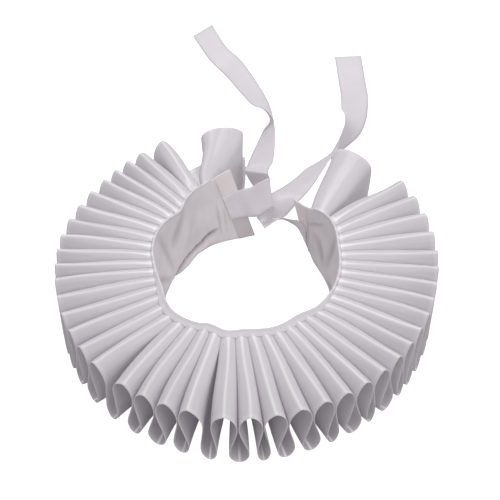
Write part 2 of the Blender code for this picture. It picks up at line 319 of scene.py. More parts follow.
# %% Tables and their readers
# Columns: top angle (deg), top radius (mm), top height (mm), foot angle (deg), foot radius (mm)
BAND_PLAN = (
    (21.0, 101.6, 50.0, 7.5, 72.2),
    (29.5, 93.5, 51.0, 18.5, 68.5),
    (36.0, 87.5, 53.0, 29.0, 67.5),
    (43.5, 82.5, 56.0, 40.0, 67.0),
    (52.0, 76.0, 58.0, 50.0, 65.0),
    (62.0, 69.0, 59.0, 61.0, 63.0),
    (72.0, 70.6, 60.0, 72.0, 62.5),
    (84.0, 72.2, 60.0, 84.0, 63.5),
    (100.0, 71.0, 60.0, 100.0, 65.0),
    (112.0, 69.3, 60.0, 112.0, 66.0),
    (128.0, 69.5, 60.0, 128.0, 67.0),
    (147.0, 75.5, 60.0, 147.0, 70.0),
    (163.0, 74.0, 60.0, 163.0, 69.0),
    (171.6, 70.7, 60.0, 171.6, 67.0),
    (182.0, 73.0, 60.0, 182.0, 68.0),
    (192.0, 70.5, 60.0, 192.0, 67.0),
    (210.0, 71.2, 60.0, 210.0, 67.0),
    (227.0, 68.4, 60.0, 227.0, 66.0),
    (240.0, 71.4, 60.0, 240.0, 67.0),
    (265.0, 70.9, 60.0, 265.0, 67.0),
    (290.0, 70.0, 60.0, 290.0, 67.0),
    (312.0, 74.0, 60.0, 312.0, 67.5),
    (322.0, 72.3, 60.0, 322.0, 69.5),
    (329.5, 67.2, 60.0, 330.5, 75.0),
    (340.4, 67.6, 60.0, 338.7, 82.5),
)
# Columns: loop number, top angle on the band (deg)
INNER_LOOPS = (
    (-0.5, 30.2),
    (0.0, 35.0),
    (1.0, 42.0),
    (41.0, 311.0),
    (42.0, 320.5),
    (42.5, 328.3),
)
# Columns: loop number, angle (deg), radius (mm), crest height (mm)
RIM_LOOPS = (
    (-1.0, 7.0, 164.0, 37.0),
    (0.0, 21.0, 165.0, 37.0),
    (1.0, 41.8, 148.0, 53.0),
    (2.0, 51.0, 142.5, 56.0),
    (5.0, 67.6, 141.0, 56.0),
    (9.0, 94.3, 145.0, 56.0),
    (12.0, 111.8, 145.0, 56.0),
    (17.0, 145.7, 146.0, 56.0),
    (18.0, 156.8, 145.0, 56.0),
    (21.0, 176.9, 144.0, 56.0),
    (22.0, 187.3, 145.0, 56.0),
    (26.0, 216.1, 142.0, 56.0),
    (30.0, 242.8, 143.0, 56.0),
    (35.0, 273.2, 144.5, 56.0),
    (37.0, 285.4, 146.0, 56.0),
    (41.0, 316.1, 149.0, 56.0),
    (42.0, 337.2, 151.0, 48.0),
    (43.0, 352.4, 151.0, 48.0),
)


def straight(rows, x):
    """Row values at x, straight between rows; the first column is the key."""
    if x <= rows[0][0]:
        low, high = rows[0], rows[1]
    elif x >= rows[-1][0]:
        low, high = rows[-2], rows[-1]
    else:
        i = next(i for i in range(1, len(rows)) if x <= rows[i][0])
        low, high = rows[i - 1], rows[i]
    f = (x - low[0]) / (high[0] - low[0])
    return [a + (b - a) * f for a, b in zip(low[1:], high[1:])]


def curved(rows, x):
    """Row values at x on a smooth curve through the rows."""
    x = min(max(x, rows[0][0]), rows[-1][0])
    i = next(i for i in range(1, len(rows)) if x <= rows[i][0])
    span = rows[i][0] - rows[i - 1][0]
    f = (x - rows[i - 1][0]) / span
    values = []
    for c in range(1, len(rows[0])):
        left, right_value = rows[i - 1][c], rows[i][c]
        before = after = (right_value - left) / span
        if i >= 2:
            before = (right_value - rows[i - 2][c]) / (rows[i][0] - rows[i - 2][0])
        if i + 1 < len(rows):
            after = (rows[i + 1][c] - left) / (rows[i + 1][0] - rows[i - 1][0])
        h00 = 2 * f**3 - 3 * f**2 + 1
        h10 = f**3 - 2 * f**2 + f
        h01 = -2 * f**3 + 3 * f**2
        h11 = f**3 - f**2
        values.append(h00 * left + h10 * span * before + h01 * right_value + h11 * span * after)
    return values


def share_of(value, low, high):
    """How far a value has come from low to high, kept between 0 and 1."""
    return min(max((value - low) / (high - low), 0.0), 1.0)


def running_lengths(points):
    """The distance of each point along its row, from the first one."""
    lengths = [0.0]
    for here, there in zip(points, points[1:]):
        lengths.append(lengths[-1] + (there - here).length)
    return lengths


def polar(angle_deg, radius, z):
    """Point at an angle round the neck: 0 is the opening, 90 the viewer's left, 180 the front."""
    a = math.radians(angle_deg)
    return NECK_CENTRE + Vector((-radius * math.sin(a), radius * math.cos(a), z))


def band_face(angle_deg, v):
    """Point on the neckband's inner face: v is 0 at the foot and 1 at the top edge."""
    top_r, top_z, foot_a, foot_r = curved(BAND_PLAN, angle_deg)
    top = polar(angle_deg, top_r * MM, top_z * MM)
    return polar(foot_a, foot_r * MM, 0.0).lerp(top, v)


def band_out(angle_deg, v):
    """Unit vector, level, from the inner face to the outer face."""
    step = band_face(angle_deg + 0.4, v) - band_face(angle_deg - 0.4, v)
    return Vector((step.y, -step.x, 0.0)).normalized()


foot_line = [band_face(angle, 0) for angle in range(23, 340)]
print("band length along the foot:", round(running_lengths(foot_line)[-1], 3), "m")

# %% [markdown]
# ## Finishes
# Satin is woven so that long threads float on its face. It is smooth along them and mirrors
# light in streaks. The plain cotton of the band has an even grid of threads. Both patterns
# are drawn by one node group from the cloth's own UV map, which is laid out in metres, so the
# threads follow every fold. A second group gives the slow, uneven tint that real cloth has.

# %% Node groups shared by the cloths
PATCH_SIZE = 40.0
# Cells to the metre, along the cloth and across it: thin streaks that run across its width
STREAK_STRETCH = (900.0, 22.0, 1.0)


def new_group(name, inputs, outputs):
    """A node group with named sockets; returns the group, its input node and output node."""
    group = bpy.data.node_groups.new(name, "ShaderNodeTree")
    for socket, kind, value in inputs:
        item = group.interface.new_socket(socket, in_out="INPUT", socket_type=kind)
        if value is not None:
            item.default_value = value
    for socket, kind in outputs:
        group.interface.new_socket(socket, in_out="OUTPUT", socket_type=kind)
    return group, group.nodes.new("NodeGroupInput"), group.nodes.new("NodeGroupOutput")


def make_thread_group():
    """Height of crossing threads, from a UV map in metres and two thread spacings."""
    group, start, end = new_group(
        "woven_threads",
        (("UV", "NodeSocketVector", None), ("Along", "NodeSocketFloat", 0.0005),
         ("Across", "NodeSocketFloat", 0.0005), ("Across share", "NodeSocketFloat", 0.5)),
        (("Height", "NodeSocketFloat"),),
    )
    split = feed(group.nodes.new("ShaderNodeSeparateXYZ"), {"Vector": start.outputs["UV"]})
    waves = []
    for axis, spacing in (("X", "Along"), ("Y", "Across")):
        turns = math_node(group, "DIVIDE", split.outputs[axis], start.outputs[spacing])
        wave = math_node(group, "SINE", math_node(group, "MULTIPLY", turns, 2 * math.pi))
        waves.append(math_node(group, "MULTIPLY_ADD", wave, 0.5, 0.5))
    across = math_node(group, "MULTIPLY", waves[1], start.outputs["Across share"])
    rest = math_node(group, "SUBTRACT", 1.0, start.outputs["Across share"])
    along = math_node(group, "MULTIPLY", waves[0], rest)
    feed(end, {"Height": math_node(group, "ADD", along, across)})
    return group


def make_tint_group():
    """A slow uneven tint between two colours, with fine streaks along the cloth's width."""
    group, start, end = new_group(
        "uneven_tint",
        (("Vector", "NodeSocketVector", None), ("UV", "NodeSocketVector", None),
         ("Light", "NodeSocketColor", (1, 1, 1, 1)), ("Dark", "NodeSocketColor", (0.5, 0.5, 0.5, 1)),
         ("Patch size", "NodeSocketFloat", PATCH_SIZE), ("Streaks", "NodeSocketFloat", 0.3)),
        (("Color", "NodeSocketColor"), ("Streak", "NodeSocketFloat")),
    )
    patch = feed(group.nodes.new("ShaderNodeTexNoise"), {
        "Vector": start.outputs["Vector"], "Scale": start.outputs["Patch size"], "Detail": 3.0})
    stretch = feed(group.nodes.new("ShaderNodeMapping"), {
        "Vector": start.outputs["UV"], "Scale": STREAK_STRETCH})
    streak = feed(group.nodes.new("ShaderNodeTexNoise"), {
        "Vector": stretch.outputs["Vector"], "Scale": 1.0, "Detail": 2.0})
    share = math_node(group, "MULTIPLY", streak.outputs["Fac"], start.outputs["Streaks"])
    rest = math_node(group, "SUBTRACT", 1.0, start.outputs["Streaks"])
    slow = math_node(group, "MULTIPLY", patch.outputs["Fac"], rest)
    colour = mix_colours(group, math_node(group, "ADD", share, slow),
                         start.outputs["Dark"], start.outputs["Light"])
    feed(end, {"Color": colour, "Streak": streak.outputs["Fac"]})
    return group


def make_edge_group():
    """Fine ribs along both woven edges of a ribbon, fading out over a short reach."""
    group, start, end = new_group(
        "ribbed_edges",
        (("UV", "NodeSocketVector", None), ("Width", "NodeSocketFloat", 0.025),
         ("Reach", "NodeSocketFloat", 0.004), ("Rib", "NodeSocketFloat", 0.001)),
        (("Mask", "NodeSocketFloat"),),
    )
    split = feed(group.nodes.new("ShaderNodeSeparateXYZ"), {"Vector": start.outputs["UV"]})
    half = math_node(group, "MULTIPLY", start.outputs["Width"], 0.5)
    from_middle = math_node(group, "ABSOLUTE", math_node(group, "SUBTRACT", split.outputs["Y"], half))
    from_edge = math_node(group, "SUBTRACT", half, from_middle)
    near = math_node(group, "SUBTRACT", 1.0,
                     math_node(group, "DIVIDE", from_edge, start.outputs["Reach"]))
    near.node.use_clamp = True
    turns = math_node(group, "DIVIDE", from_edge, start.outputs["Rib"])
    wave = math_node(group, "COSINE", math_node(group, "MULTIPLY", turns, 2 * math.pi))
    ribs = math_node(group, "MULTIPLY_ADD", wave, 0.5, 0.5)
    feed(end, {"Mask": math_node(group, "MULTIPLY", near, ribs)})
    return group


THREADS = make_thread_group()
TINT = make_tint_group()
EDGES = make_edge_group()
print("node groups:", ", ".join(group.name for group in (THREADS, TINT, EDGES)))

# %% [markdown]
# Each cloth is one material made by the same function. It lays the tint down first, then
# painted light and shade where the cloth is marked, and ribbed edges over it, and raises the
# threads with a bump. The painted light is a painted highlight along the satin's crests, a
# painted glint in the feet and painted shade in the band's creases and low on the plackets;
# every cloth also gets a faint painted glow in its own colour. Satin's floating threads also
# spread its gloss sideways, which anisotropy does along the UV map.

# %% Cloth finishes
# Painted highlight along the crests of the ruffle and its border
PAINTED_HIGHLIGHT_PALE = (0.97, 0.945, 0.96, 1.0)
EDGE_PALE = (0.97, 0.95, 0.96, 1.0)
EDGE_GREY = (0.50, 0.48, 0.50, 1.0)
# Painted shade on the lower part of the plackets
PAINTED_SHADE_GREY = (0.52, 0.49, 0.51, 1.0)
# Painted shade in the troughs of the band's creases
PAINTED_CREASE_SHADE = (0.27, 0.235, 0.255, 1.0)
# Strength of every cloth's painted glow
GLOW_STRENGTH = 0.6
SHEEN_ROUGHNESS = 0.4
THREAD_BUMP = 0.5
FLOAT_BUMP = 0.35
FLOAT_HEIGHT = 0.12 * MM
# A quarter of a turn lays the gloss across the ribbon
FLOAT_TURN = 0.25


def lay_over(tree, below, mask, strength, colour):
    """Lays a plain colour over another one where a mask is bright; returns the mixed colour."""
    return mix_colours(tree, math_node(tree, "MULTIPLY", mask, strength), below, colour)


def cloth_mark(tree, name):
    """The value of one of the cloth's marks, from 0 to 1."""
    mark = tree.nodes.new("ShaderNodeAttribute")
    mark.attribute_name = name
    return mark.outputs["Fac"]


def add_group(tree, group, values):
    """One of the shared node groups, with its inputs fed."""
    node = tree.nodes.new("ShaderNodeGroup")
    node.node_tree = group
    return feed(node, values)


def make_cloth(name, light, dark, roughness, sheen, spacing, across_share, depth, streaks,
               floats=0.0, painted_light_colour=None, edge=None, glint=0.0, through=0.08):
    """A cloth finish: tinted by patches and streaks, with its threads raised by a bump.

    Floats, from 0 to 1, is how strongly long floating threads draw the gloss out sideways.
    The pair after floats is the strength and colour laid over the cloth where it is marked: a
    painted highlight along the satin's crests, painted shade in the cotton's creases and on the
    plackets' lower part. Edge is the strength and colour of the ribs along a ribbon's woven
    edges. Glint is how bright the painted glint along the bottoms of the feet is. Every cloth
    glows faintly in a dimmed copy of its own colour, a painted glow that stands in for light
    coming through the thin cloth: through is how much.
    """
    material = bpy.data.materials.new(name)
    material.use_nodes = True
    tree = material.node_tree
    places = tree.nodes.new("ShaderNodeTexCoord").outputs
    tint = add_group(tree, TINT, {"Vector": places["Object"], "UV": places["UV"], "Streaks": streaks,
                                  "Light": (*light, 1.0), "Dark": (*dark, 1.0)})
    colour = tint.outputs["Color"]
    # Painted highlight on the satins and painted shade on the cotton and plackets, where the cloth is marked
    if painted_light_colour:
        colour = lay_over(tree, colour, cloth_mark(tree, "painted_light_mark"), *painted_light_colour)
    if edge:
        edges = add_group(tree, EDGES, {"UV": places["UV"]})
        edges.name = "edges"
        colour = lay_over(tree, colour, edges.outputs["Mask"], *edge)
    # Painted glow: the cloth emits a dimmed copy of its own colour, which lifts its shade
    glow = lay_over(tree, colour, 1.0, 1.0 - through, BLACK)
    # Painted glint: a white glow along the bottoms of the feet near the rim
    if glint:
        glow = lay_over(tree, glow, cloth_mark(tree, "glint"), glint, WHITE)
    threads = add_group(tree, THREADS, {"UV": places["UV"], "Along": spacing[0],
                                        "Across": spacing[1], "Across share": across_share})
    bump = feed(tree.nodes.new("ShaderNodeBump"), {
        "Strength": THREAD_BUMP, "Distance": depth, "Height": threads.outputs["Height"]})
    shader = feed(tree.nodes["Principled BSDF"], {
        "Base Color": colour, "Roughness": roughness, "Normal": bump.outputs["Normal"],
        "Sheen Weight": sheen, "Sheen Roughness": SHEEN_ROUGHNESS,
        "Emission Color": glow, "Emission Strength": GLOW_STRENGTH})
    if floats:
        direction = tree.nodes.new("ShaderNodeTangent")
        direction.direction_type = "UV_MAP"
        direction.uv_map = "cloth"
        feed(shader, {"Anisotropic": floats, "Anisotropic Rotation": FLOAT_TURN,
                      "Tangent": direction.outputs["Tangent"]})
        soft = feed(tree.nodes.new("ShaderNodeBump"), {
            "Strength": FLOAT_BUMP, "Distance": FLOAT_HEIGHT, "Height": tint.outputs["Streak"]})
        feed(bump, {"Normal": soft.outputs["Normal"]})
    return material


# After the name: light and dark colour, roughness, sheen, thread spacing along and across, the
# crossing threads' share, thread height and how streaky the tint is
# The keyword arguments at the end set each cloth's painted light: a painted highlight along the crests, a painted
# glint in the feet, painted shade in creases and low on the plackets, and a faint painted glow
satin = make_cloth("ruffle_satin", (0.80, 0.76, 0.808), (0.64, 0.605, 0.647), 0.34, 0.2,
                   (0.9 * MM, 0.3 * MM), 0.8, 0.02 * MM, 0.6, floats=0.85,
                   painted_light_colour=(0.75, PAINTED_HIGHLIGHT_PALE), edge=(0.75, EDGE_PALE), glint=0.7,
                   through=0.07)
satin_plain = make_cloth("border_satin", (0.79, 0.75, 0.797), (0.68, 0.645, 0.685), 0.4, 0.2,
                         (0.9 * MM, 0.3 * MM), 0.8, 0.02 * MM, 0.4,
                         painted_light_colour=(0.75, PAINTED_HIGHLIGHT_PALE))
cotton = make_cloth("band_cotton", (0.98, 0.93, 0.955), (0.60, 0.555, 0.58), 0.85, 0.1,
                    (0.6 * MM, 0.6 * MM), 0.5, 0.16 * MM, 0.2, painted_light_colour=(1.0, PAINTED_CREASE_SHADE),
                    through=0.15)
placket_cloth = make_cloth("placket_ribbon", (0.885, 0.81, 0.825), (0.75, 0.68, 0.695), 0.6, 0.2,
                           (0.5 * MM, 1.1 * MM), 0.8, 0.15 * MM, 0.1,
                           painted_light_colour=(0.75, PAINTED_SHADE_GREY), through=0.2)
tie_satin = make_cloth("tie_satin", (0.755, 0.71, 0.755), (0.645, 0.605, 0.645), 0.4, 0.1,
                       (0.9 * MM, 0.3 * MM), 0.8, 0.03 * MM, 0.4, floats=0.7,
                       edge=(0.55, EDGE_GREY), through=0.25)
# The selvedge's lighter colours are a painted highlight where the edge catches light
selvedge_satin = make_cloth("selvedge_satin", (0.93, 0.895, 0.915), (0.82, 0.785, 0.805), 0.5, 0.2,
                            (0.6 * MM, 0.3 * MM), 0.2, 0.1 * MM, 0.2)
thread_cotton = make_cloth("thread_cotton", (0.90, 0.85, 0.80), (0.72, 0.67, 0.60), 0.7, 0.2,
                           (0.4 * MM, 0.4 * MM), 0.5, 0.1 * MM, 0.1)
finishes = (satin, satin_plain, cotton, placket_cloth, tie_satin, selvedge_satin, thread_cotton)
print("finishes:", ", ".join(finish.name for finish in finishes))

# %% [markdown]
# ## The ruffle ribbon
# The real ruffle is one ribbon about 76 mm wide. Its inner edge is sewn to the band in a
# figure of eight: up over a wide top loop, down beside the next one, round a narrow foot loop
# and up again. A flat grid is that ribbon before it is sewn. Each of its points is moved to
# its place on the wave, so the grid's own rows stay the ribbon's threads and its UV map can
# hold true lengths. A thin Solidify gives the cloth its thickness.

# %% The wave of the ruffle
LAST_LOOP = 42
RIBBON_THICKNESS = 0.4 * MM
BAND_THICKNESS = 1.4 * MM
RUFFLE_STANDOFF = 0.35 * MM
CREST_BELOW_BAND = 0.8 * MM
CREST_BULGE = 0.5 * MM
LOOP_CLEARANCE = 0.24 * MM
# Half widths of the loops' tops and of the slots under the end loops. Pairs are at the neck
# and at the rim
TOP_HALF_WIDTH = (5.4 * MM, 9.8 * MM)
END_HALF_WIDTH = (7.5 * MM, 19.0 * MM)
END_SLOT = (2.0 * MM, 16.0 * MM)
NEXT_SLOT = (1.6 * MM, 4.5 * MM)
# A foot takes this share of the pitch, up to a largest half width
FOOT_SHARE = 0.36
FOOT_MOST = 7.2 * MM
# How far round an arch its full width is reached, for crests, end loops and feet
CAP_DEGREES = (11.0, 70.0)
CAP_SWING = 1.4
END_CAP_DEGREES = (40.0, 58.0)
FOOT_CAP_DEGREES = (26.0, 60.0)
# Between these heights the wall of a loop runs from its shoulder in to the foot beside it
SHOULDER_LOW, SHOULDER_HIGH = 0.1, 0.8
# The end loops open like a trumpet, and beside them the ribbon turns out late to the next foot
END_FLARE = 0.6
FOOT_TURN_DEGREES = 150.0
# The pitch of the loops is measured this far up
PITCH_HEIGHT = 0.8
# Next to the band each loop is sewn down flat, and its ridge rises over this share of the way
SEWN_SHARE = 0.2
# The pressed ridge along each crest
RIDGE_HEIGHT = 0.7 * MM
RIDGE_HALF_WIDTH = 1.9 * MM
# Places down a half wave, in degrees: close together where the cloth bends most
DESCENT = (0.0, 3.0, 6.0, 9.0, 13.0, 17.5, 23.0, 29.0, 36.0, 44.0, 54.0, 66.0, 78.0, 90.0,
           102.0, 114.0, 126.0, 136.0, 146.0, 156.0, 165.0, 173.0, 180.0)
WIDTH_STEPS = 10 if QUICK else 18
# Rows of the grid lie closer together beside the band, and one more lies close to the rim
ROW_SPREAD = 1.4
LAST_ROW_SHARE = 0.985

hand = random.Random(43)
# How each loop strays from its even place: two sideways bows, a crest height and a foot's lean
STRAY = [(hand.uniform(-0.07, 0.07), hand.uniform(-0.05, 0.05), hand.uniform(-0.7, 0.7) * MM,
          hand.uniform(-0.2, 0.2) if 1 < loop < LAST_LOOP - 1 else 0.0)
         for loop in range(LAST_LOOP + 2)]
# How strongly each crest's painted highlight shows, and the painted glint in the foot beside it
CREST_HIGHLIGHT_STRENGTH = [hand.uniform(0.45, 1.0) for _ in range(LAST_LOOP + 1)]


def stray_at(loop):
    """The stray values between two loops, so that neighbours bend together."""
    low = min(max(int(math.floor(loop)), 0), LAST_LOOP)
    f = min(max(loop - low, 0.0), 1.0)
    return [a + (b - a) * f for a, b in zip(STRAY[low], STRAY[low + 1])]


def ribbon_place(loop, v, s):
    """Middle of the ribbon: v is 0 on the ground and 1 at the crest, s runs to the rim."""
    bow, double_bow, lift, lean = stray_at(loop)
    strayed = loop + bow * math.sin(math.pi * s) + double_bow * math.sin(2 * math.pi * s)
    strayed += lean * s * (1.0 - v)
    inner_angle = straight(INNER_LOOPS, strayed)[0]
    inner = band_face(inner_angle, v)
    inner = inner + band_out(inner_angle, v) * (BAND_THICKNESS + RUFFLE_STANDOFF)
    rim_angle, rim_radius, rim_height = straight(RIM_LOOPS, strayed)
    flat = inner.lerp(polar(rim_angle, rim_radius * MM, 0.0), s)
    inner_height = curved(BAND_PLAN, inner_angle)[1] * MM - CREST_BELOW_BAND
    crest = inner_height + (rim_height * MM - inner_height) * s + 4 * CREST_BULGE * s * (1 - s)
    crest += lift * math.sin(math.pi * s)
    ground = RIBBON_THICKNESS / 2
    return Vector((flat.x, flat.y, ground + v * (crest - 2 * ground)))


def at(pair, s):
    """A value that runs evenly from its size at the neck to its size at the rim."""
    return pair[0] + (pair[1] - pair[0]) * s


def eased(share):
    """A share from 0 to 1 that starts and ends softly."""
    return share * share * (3 - 2 * share)


def cap(degrees, full):
    """How much of its half width an arch has reached, this far from its middle."""
    return math.sin(share_of(degrees, 0.0, full) * math.pi / 2)


def half_wave(crest, toward, s):
    """(loop coordinate, v, ridge) from the crest down to the middle of the foot beside it."""
    pitch = (ribbon_place(crest + toward, PITCH_HEIGHT, s)
             - ribbon_place(crest, PITCH_HEIGHT, s)).length
    room = pitch / 2 - LOOP_CLEARANCE
    is_end = crest in (0, LAST_LOOP)
    top = min(at(END_HALF_WIDTH, s**END_FLARE) if is_end else at(TOP_HALF_WIDTH, s), room)
    foot = min(FOOT_SHARE * pitch, room, FOOT_MOST)
    slot = at(END_SLOT, s**END_FLARE) if is_end else at(NEXT_SLOT, s)
    slot = min(slot, room)
    risen = eased(share_of(s, 0.0, SEWN_SHARE))
    cap_degrees = at(END_CAP_DEGREES, s) if is_end else at(CAP_DEGREES, s**CAP_SWING)
    in_end_bay = is_end or crest + toward in (0, LAST_LOOP)
    places = []
    for degrees in DESCENT:
        mix = (1 + math.cos(math.radians(degrees))) / 2
        upper = cap(degrees, cap_degrees)
        lower = pitch / 2 - cap(180.0 - degrees, at(FOOT_CAP_DEGREES, s)) * foot
        if in_end_bay:
            side = upper * (slot + (top - slot) * math.sqrt(mix))
            spread = share_of(degrees, FOOT_TURN_DEGREES, 180.0)
            away = side + (pitch / 2 - side) * spread**1.5
        else:
            share = eased(share_of(mix, SHOULDER_LOW, SHOULDER_HIGH))
            away = top * upper * share + lower * (1 - share)
        ridge = risen * RIDGE_HEIGHT * math.exp(-(away / RIDGE_HALF_WIDTH)**2)
        if is_end or mix < 0.5:
            ridge = 0.0
        places.append((crest + toward * away / pitch, mix, ridge))
    return places


def wave_line(s):
    """The whole wave at one distance from the neck, end to end."""
    line = []
    for crest in range(LAST_LOOP + 1):
        rising = half_wave(crest, -1, s)[1:]
        if crest > 0:
            # The loop before has already placed the foot that the two share
            rising = rising[:-1]
        line.extend(reversed(rising))
        line.extend(half_wave(crest, 1, s))
    return line


# Shares of the way from the band to the rim. The row close to the rim keeps the turned edge
# from shading the face behind it
SHARES = [(row / WIDTH_STEPS)**ROW_SPREAD for row in range(WIDTH_STEPS + 1)]
SHARES = sorted(SHARES + [LAST_ROW_SHARE])
RIM_ROW = len(SHARES) - 1
lines = [wave_line(s) for s in SHARES]
COLUMNS = len(lines[0])
print("columns on the wave:", COLUMNS)

# %% [markdown]
# One function sets every flat cloth: the ruffle, the band, the plackets, the border and the
# ties. It is given the place of each grid point, and it can mark the points where a finish
# lays painted highlights, painted glints or painted shade, so a finish knows where to paint
# them without any picture.

# %% Set the flat ribbon into the wave


def cloth_grid(name, columns, rows, place, material, thickness, offset=0.0, marks=None):
    """Moves a flat grid's points to place(column, row) and lays its UV map out in metres.

    Marks names functions of column and row that say, from 0 to 1, where light or shade is painted.
    """
    bm = bmesh.new()
    layers = [(bm.verts.layers.float.new(mark), strength) for mark, strength in (marks or {}).items()]
    bmesh.ops.create_grid(bm, x_segments=columns - 1, y_segments=rows - 1, size=0.5)
    grid = {}
    for vert in bm.verts:
        column = round((vert.co.x + 0.5) * (columns - 1))
        row = round((vert.co.y + 0.5) * (rows - 1))
        grid[column, row] = vert
        vert.co = place(column, row)
        for layer, strength in layers:
            vert[layer] = strength(column, row)
    along = running_lengths([grid[column, rows // 2].co for column in range(columns)])
    across = running_lengths([grid[columns // 2, row].co for row in range(rows)])
    spots = {vert: (along[c], across[r]) for (c, r), vert in grid.items()}
    uv = bm.loops.layers.uv.new("cloth")
    for face in bm.faces:
        for corner in face.loops:
            corner[uv].uv = spots[corner.vert]
    obj = new_mesh_object(name, bm, material)
    solid = obj.modifiers.new("thickness", "SOLIDIFY")
    solid.thickness = thickness
    solid.offset = offset
    return obj, along[-1], across[-1]


def ruffle_spot(column, row):
    """A grid point's place on the wave, with the ridge along its crest added."""
    loop, v, ridge = lines[row][column]
    return ribbon_place(loop, v, SHARES[row]) + Vector((0, 0, ridge))


# Painted highlight along the crests, over their real gloss, and painted glint along each foot's outer bottom
PAINTED_HIGHLIGHT_HALF_WIDTH = 1.0 * MM
GLINT_FROM, GLINT_FULL = 0.80, 0.93


def ruffle_painted_highlight(column, row):
    """How strongly the painted highlight along a crest shows at a grid point."""
    s = SHARES[row]
    loop, v, _ = lines[row][column]
    crest = min(max(round(loop), 0), LAST_LOOP)
    if crest in (0, LAST_LOOP) or v < 0.5:
        return 0.0
    away = (ribbon_place(loop, 1.0, s) - ribbon_place(crest, 1.0, s)).length
    return CREST_HIGHLIGHT_STRENGTH[crest] * math.exp(-(away / PAINTED_HIGHLIGHT_HALF_WIDTH)**2)


def ruffle_glint(column, row):
    """How strongly the painted glint in the bottom of a foot shows near the rim."""
    loop, v, _ = lines[row][column]
    if v > 0.0 or not 1 < loop < LAST_LOOP - 1:
        return 0.0
    return share_of(SHARES[row], GLINT_FROM, GLINT_FULL) * CREST_HIGHLIGHT_STRENGTH[int(loop)]


# The ruffle is marked for a painted highlight along its crests and a painted glint in its feet
ruffle, ribbon_length, ribbon_width = cloth_grid(
    "ruffle_strip", COLUMNS, len(SHARES), ruffle_spot, satin, RIBBON_THICKNESS,
    marks={"painted_light_mark": ruffle_painted_highlight, "glint": ruffle_glint})
satin.node_tree.nodes["edges"].inputs["Width"].default_value = ribbon_width
print("ribbon", round(ribbon_length, 2), "m long and", round(ribbon_width * 1000, 1), "mm wide")

# %% [markdown]
# The ribbon's outer edge is a woven selvedge: a fine, firm bead, painted lighter than the face
# as a painted highlight where the edge catches light. A poly curve along the rim of the wave,
# with a round bevel, is the shortest way there.

# %% Selvedge bead
SELVEDGE_RADIUS = 0.27 * MM
BEAD_RESOLUTION = 1
MERGE_DISTANCE = 0.01 * MM


def bead(name, points, radius, material):
    """A round thread along the points, made a mesh with closed ends."""
    curve = bpy.data.curves.new(name, "CURVE")
    curve.dimensions = "3D"
    curve.bevel_depth = radius
    curve.bevel_resolution = BEAD_RESOLUTION
    curve.use_fill_caps = True
    spline = curve.splines.new("POLY")
    spline.points.add(len(points) - 1)
    for spot, point in zip(spline.points, points):
        spot.co = (*point, 1.0)
    source = bpy.data.objects.new(name, curve)
    mesh = bpy.data.meshes.new_from_object(source)
    bpy.data.objects.remove(source)
    bm = bmesh.new()
    bm.from_mesh(mesh)
    bpy.data.meshes.remove(mesh)
    bmesh.ops.remove_doubles(bm, verts=bm.verts, dist=MERGE_DISTANCE)
    bmesh.ops.recalc_face_normals(bm, faces=bm.faces)
    return new_mesh_object(name, bm, material)


rim = [ruffle_spot(column, RIM_ROW) for column in range(COLUMNS)]
selvedge = bead("ruffle_selvedge", rim, SELVEDGE_RADIUS, selvedge_satin)
print("selvedge has", len(selvedge.data.polygons), "faces")

# %% [markdown]
# ## The neckband
# A strip of plain cotton stands on edge inside the loops. It is a doubled cloth, so it is
# stiffer than the ribbon and shows only a few soft folds: one along its lower edge where the
# hem rolls, and puckers beside the seam of the left placket. Each fold is a row of a table,
# with a start and an end on the band, a width and a depth. The troughs are also painted
# darker the deeper they are, as painted shade.

# %% Neckband with its creases
# Columns: start angle (deg), start v, end angle (deg), end v, half width (mm), depth (mm).
# A positive depth is a trough away from the neck, a negative one a ridge towards it
# Each trough is also painted darker by its depth, as painted shade
BAND_CREASES = (
    (77.0, 0.03, 61.5, 0.15, 1.5, 2.6),
    (62.5, 0.14, 47.0, 0.15, 1.5, 2.9),
    (48.0, 0.15, 38.0, 0.24, 1.4, 2.4),
    (74.0, 0.00, 56.0, 0.06, 2.2, -2.0),
    (56.0, 0.06, 41.0, 0.08, 2.0, -1.8),
    (36.3, 0.14, 33.6, 0.62, 0.7, 0.8),
    (34.9, 0.10, 32.2, 0.58, 0.7, -0.7),
    (33.4, 0.16, 31.2, 0.50, 0.6, 0.7),
    (50.0, 0.80, 66.0, 0.34, 5.0, -1.2),
    (104.0, 0.50, 86.0, 0.12, 3.0, 0.9),
    (86.0, 0.00, 66.0, 0.00, 1.2, 1.2),
    (68.0, 0.00, 50.0, 0.00, 0.9, 1.5),
    (60.0, 0.92, 72.0, 0.55, 4.0, 1.0),
    (84.0, 0.90, 78.0, 0.20, 3.5, 0.8),
    (118.0, 0.85, 124.0, 0.25, 3.2, 0.8),
    (141.0, 0.75, 138.0, 0.15, 3.6, 0.7),
    (176.0, 0.80, 181.0, 0.20, 3.0, 0.8),
    (203.0, 0.85, 199.0, 0.30, 3.4, 0.8),
    (236.0, 0.75, 241.0, 0.15, 3.2, 0.7),
    (262.0, 0.90, 257.0, 0.25, 3.6, 0.8),
    (285.0, 0.14, 300.0, 0.05, 2.0, 1.3),
    (300.0, 0.90, 306.0, 0.30, 4.0, 0.9),
    (318.0, 0.80, 328.0, 0.66, 1.2, 0.9),
    (325.0, 0.11, 319.0, 0.13, 1.7, -1.7),
    (321.0, 0.50, 312.0, 0.20, 4.0, 0.9),
)
BAND_COLUMNS = 260 if QUICK else 400
BAND_ROWS = 34 if QUICK else 54
BAND_HEIGHT_MM = 60.0
MM_PER_DEGREE = 1.2
# A crease fades out within this many of its half widths
CREASE_REACH = 3.0


